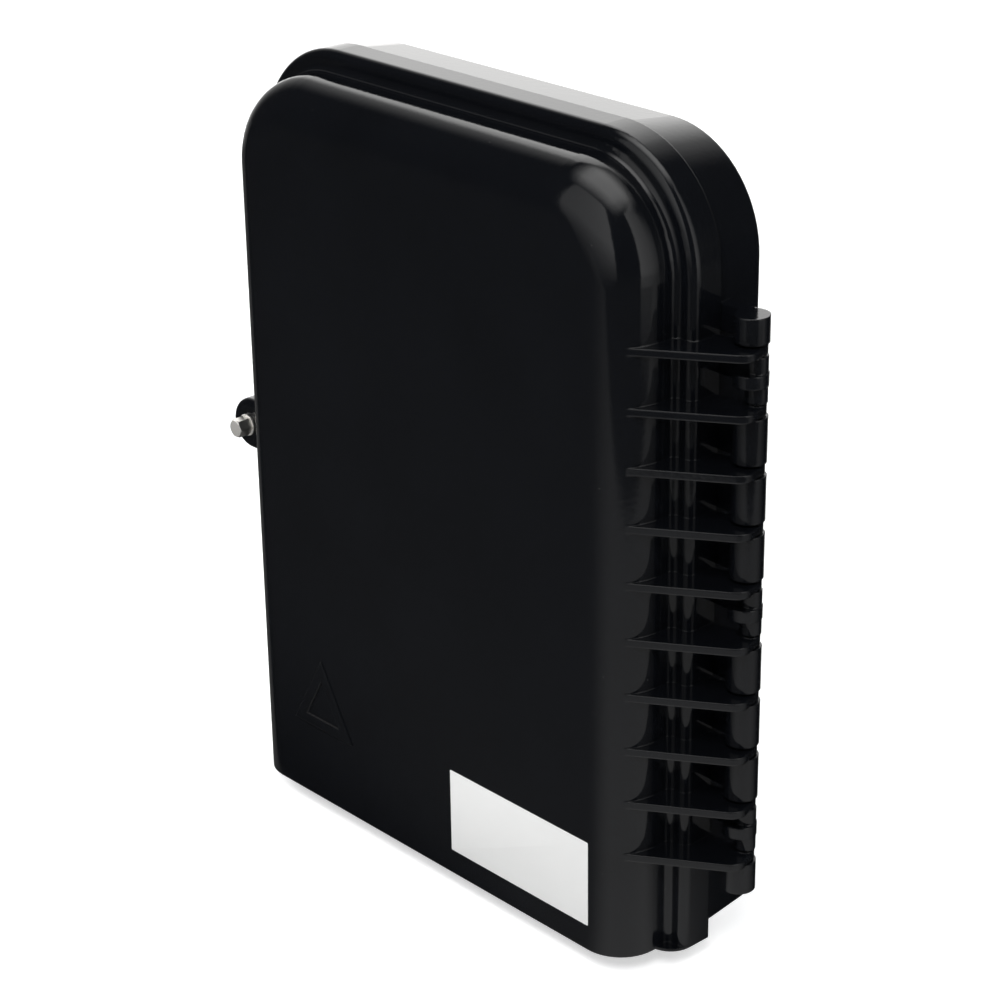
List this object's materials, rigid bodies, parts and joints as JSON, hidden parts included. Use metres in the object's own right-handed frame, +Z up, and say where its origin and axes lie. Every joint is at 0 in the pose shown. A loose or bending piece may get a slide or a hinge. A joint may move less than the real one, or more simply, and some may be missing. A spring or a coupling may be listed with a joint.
{
  "type": "fibre splice closure",
  "caption": "Upright wall-mounted fibre splice closure: domed glossy black lid on a ribbed side hinge, captive hexagon lock bolt, swing-out splice tray and cable entries below.",
  "frame": {"origin": "on the flat rear face, midway across it and at half the lid's height", "axes": "+Z up, +Y into the wall, so the lid faces -Y; +X towards the hinge"},
  "size_m": [0.3175, 0.0722, 0.3609],
  "materials": {
    "black_moulding": "glossy black moulded plastic",
    "black_fitting": "black nylon",
    "rubber": "black rubber",
    "foam": "grey foam rubber",
    "label": "matt white printed film, blank",
    "zinc": "bright zinc plate",
    "steel": "drawn steel",
    "brass": "turned brass",
    "nylon": "natural nylon",
    "tray": "off-white moulded plastic",
    "comb": "blue moulded plastic",
    "splitter": "satin aluminium",
    "panel": "pale powder coat",
    "adapter": "green moulded plastic",
    "cap": "clear-white soft plastic"
  },
  "bodies": {
    "base": {"base_shell": "black_moulding", "rim_gasket": "foam", "hinge_pin": "steel", "lock_insert": "brass", "tray_pins": "steel", "fibre_spool_left": "tray", "fibre_spool_right": "tray", "cable_clamp_1": "black_fitting", "cable_clamp_2": "black_fitting", "clamp_screws": "zinc", "strength_clamp_1": "zinc", "strength_clamp_2": "zinc", "strength_screws": "zinc", "gland_body_1": "black_fitting", "gland_locknut_1": "black_fitting", "gland_seal_1": "rubber", "gland_body_2": "black_fitting", "gland_locknut_2": "black_fitting", "gland_seal_2": "rubber", "drop_grommet_1": "rubber", "drop_grommet_2": "rubber", "drop_grommet_3": "rubber", "drop_grommet_4": "rubber", "drop_grommet_5": "rubber", "drop_grommet_6": "rubber", "drop_grommet_7": "rubber", "drop_grommet_8": "rubber"},
    "lid": {"lid_shell": "black_moulding", "blank_label": "label"},
    "bolt": {"lock_bolt": "zinc", "lock_washer": "zinc", "bolt_retainer": "nylon"},
    "tray": {"swing_tray": "tray", "splice_comb_1": "comb", "splice_comb_2": "comb", "splitter_module": "splitter", "adapter_panel": "panel", "panel_screws": "zinc", "dust_caps_front": "cap", "dust_caps_rear": "cap", "sc_adapter_1": "adapter", "sc_adapter_2": "adapter", "sc_adapter_3": "adapter", "sc_adapter_4": "adapter", "sc_adapter_5": "adapter", "sc_adapter_6": "adapter", "sc_adapter_7": "adapter", "sc_adapter_8": "adapter"},
    "feeder_nut_1": {"gland_nut_1": "black_fitting"},
    "feeder_nut_2": {"gland_nut_2": "black_fitting"}
  },
  "joints": [
    {"name": "lid_hinge", "type": "hinge", "parent": "base", "child": "lid", "pos_m": [0.1513, -0.026, 0], "axis": [0, 0, 1], "range_deg": [0, 120]},
    {"name": "tray_hinge", "type": "hinge", "parent": "base", "child": "tray", "pos_m": [0.1117, -0.0315, 0], "axis": [0, 0, 1], "range_deg": [0, 75]},
    {"name": "bolt_turn", "type": "hinge", "parent": "lid", "child": "bolt", "pos_m": [-0.147, -0.045, -0.0135], "axis": [0, -1, 0], "continuous": true},
    {"name": "feeder_nut_1_turn", "type": "hinge", "parent": "base", "child": "feeder_nut_1", "pos_m": [-0.095, -0.01225, -0.178], "axis": [0, 0, 1], "continuous": true},
    {"name": "feeder_nut_2_turn", "type": "hinge", "parent": "base", "child": "feeder_nut_2", "pos_m": [-0.065, -0.01225, -0.178], "axis": [0, 0, 1], "continuous": true}
  ],
  "couplings": [
    {"joint": "tray_hinge", "follows": "lid_hinge", "ratio": 0.625}
  ]
}
